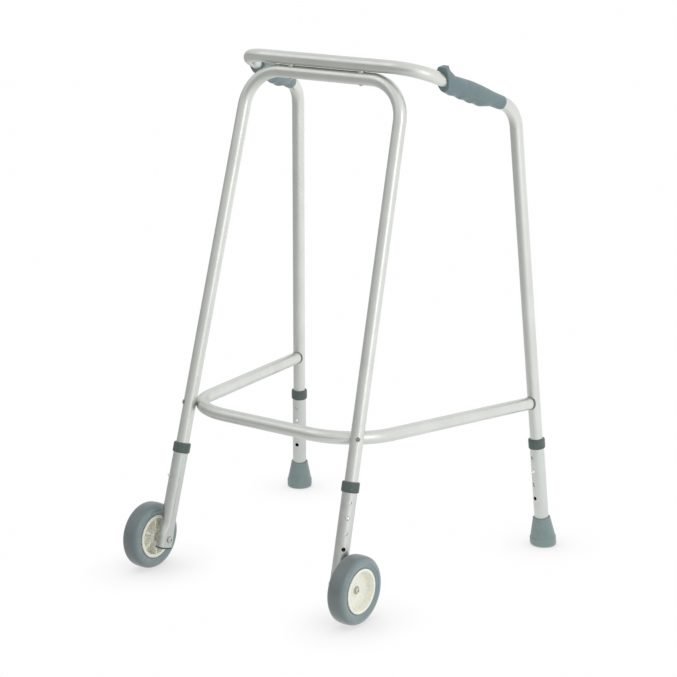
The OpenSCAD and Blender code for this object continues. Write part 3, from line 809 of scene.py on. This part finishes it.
def make_ferrule(side):
    leg = leg_frame(side, "rear")
    foot = leg.translation.copy()
    up = (leg.to_3x3() @ Vector((0, 0, 1))).normalized()
    outline = rounded(FERRULE_OUTLINE, 5)
    upper = len(outline) - 2
    rings = []
    for index, (r, h) in enumerate(outline):
        share = min(1, max(0, (h - TILT_START) / (TILT_END - TILT_START)))
        if index >= upper:   # the bore's floor is square to the leg
            share = 1
        normal = Vector((0, 0, 1)).lerp(up, share).normalized()
        x = Vector((1, 0, 0)) - normal * normal.x
        x.normalize()
        y = normal.cross(x)
        centre = foot + up * (h / up.z) * MM
        if r < 1e-6:
            rings.append([centre])
            continue
        rings.append([centre + (x * math.cos(a) + y * math.sin(a)) * r * MM
                      for a in (math.tau * i / 96 for i in range(96))])
    ferrule = skin(f"{side}_moulded_ferrule", rings)
    finish_shape(ferrule, 30)
    add(ferrule, f"{side}_rear_lower_leg", "ferrule", FERRULE, f"{side}_ferrule")


# ---- Camera, floor and light ----

STUDIO_RIGHT = (0.806, 0.593, 0)   # the photograph's right, along the floor
FLOOR_LEFT, FLOOR_RIGHT = 0.55, 1.15
WALL_LEFT, WALL_RIGHT = 0.42, 1.1
SKY_LEFT, SKY_RIGHT = 0.82, 1.15
WHITE = 0.995
CONTACT_SHADOW_REACH = 0.09
CONTACT_SHADOW_TONE = 0.72

CAMERA_PLACE = Vector((2.0588, -2.7776, 1.2952))
CAMERA_BACK = (36.34, 14.62)   # azimuth from the front and rise of the way back to it, in degrees
LENS = 110.5


def make_camera():
    data = bpy.data.cameras.new("camera")
    data.lens = LENS
    data.sensor_width = 36
    data.clip_end = 200
    cam = new_object("camera", data)
    azimuth, rise = (math.radians(a) for a in CAMERA_BACK)
    back = Vector((math.sin(azimuth) * math.cos(rise), -math.cos(azimuth) * math.cos(rise), math.sin(rise)))
    cam.location = CAMERA_PLACE
    cam.rotation_mode = "QUATERNION"
    cam.rotation_quaternion = (-back).to_track_quat("-Z", "Y")
    bpy.context.scene.camera = cam


def make_floor():
    """White to look at, with a painted contact shadow near the object; what it sends to the object is greyer on
    the left than on the right.
    """
    floor = skin("floor", [[Vector((0, 0, -0.0005))], circle(60, -0.0005, 64)])
    mat, tree, shader = node_material("floor_white")
    coord = tree.nodes.new("ShaderNodeTexCoord")
    reach = vector_math(tree, "DOT_PRODUCT", coord.outputs["Object"], STUDIO_RIGHT)
    glow = ramp(tree, reach, FLOOR_LEFT, FLOOR_RIGHT, -1.0, 0.7)
    # Painted contact shadow: ambient occlusion greys the floor's emitted white near the object, as the camera sees
    # it.
    painted_contact_shadow = tree.nodes.new("ShaderNodeAmbientOcclusion")
    painted_contact_shadow.inputs["Distance"].default_value = CONTACT_SHADOW_REACH
    painted_contact_shadow.samples = 16
    shade = ramp(tree, painted_contact_shadow.outputs["AO"], CONTACT_SHADOW_TONE, WHITE, 0.3, 1.0)
    path = tree.nodes.new("ShaderNodeLightPath")
    seen = mix(tree, path.outputs["Is Camera Ray"], glow, shade)
    shader.inputs["Base Color"].default_value = (0, 0, 0, 1)
    shader.inputs["Roughness"].default_value = 1
    shader.inputs["Specular IOR Level"].default_value = 0
    shader.inputs["Emission Color"].default_value = (1, 1, 1, 1)
    tree.links.new(seen, shader.inputs["Emission Strength"])
    floor.data.materials.append(mat)


def make_world():
    """A pale studio: bright overhead and to the right, with a greyer wall low down on the left."""
    world = bpy.data.worlds.new("studio")
    bpy.context.scene.world = world
    world.use_nodes = True
    tree = world.node_tree
    coord = tree.nodes.new("ShaderNodeTexCoord")

    def toward(way):
        return vector_math(tree, "DOT_PRODUCT", coord.outputs["Generated"], way)

    right = toward(STUDIO_RIGHT)
    wall = ramp(tree, right, WALL_LEFT, WALL_RIGHT, -0.7, 0.8)
    sky = ramp(tree, right, SKY_LEFT, SKY_RIGHT, -0.9, 0.9)
    light = mix(tree, ramp(tree, toward((0, 0, 1)), 0, 1, 0.06, 0.34), wall, sky)
    path = tree.nodes.new("ShaderNodeLightPath")
    background = tree.nodes["Background"]
    background.inputs["Color"].default_value = (1, 1, 1, 1)
    tree.links.new(mix(tree, path.outputs["Is Camera Ray"], light, WHITE), background.inputs["Strength"])


def area_light(name, place_at, aim, size, watts):
    data = bpy.data.lights.new(name, "AREA")
    data.shape = "RECTANGLE"
    data.size, data.size_y = size
    data.energy = watts
    light = new_object(name, data)
    light.location = place_at
    light.rotation_mode = "QUATERNION"
    light.rotation_quaternion = (Vector(aim) - Vector(place_at)).to_track_quat("-Z", "Y")


make_camera()
make_floor()
make_world()
area_light("strip", (2.85, -0.96, 1.45), (0, 0, 0.6), (1.4, 2.0), 9)
area_light("high_left", (-1.3, -1.5, 2.6), (0, 0, 0.2), (1.6, 1.6), 3.5)
finish_cad_nodes()
make_rivet("left", "brace_rivets")
make_rivet("right")
for side in SIDES:
    make_grip(side)
    make_tyre(side)
    make_hub(side)
    make_front_lower_tube(side)
    make_end_plug(side)
    make_axle(side)
    make_ferrule(side)
    make_bar_washer(side)
    for end in ("front", "rear"):
        make_clip(side, end)

scene = bpy.context.scene
scene.view_settings.view_transform = "Standard"
scene.view_settings.look = "None"
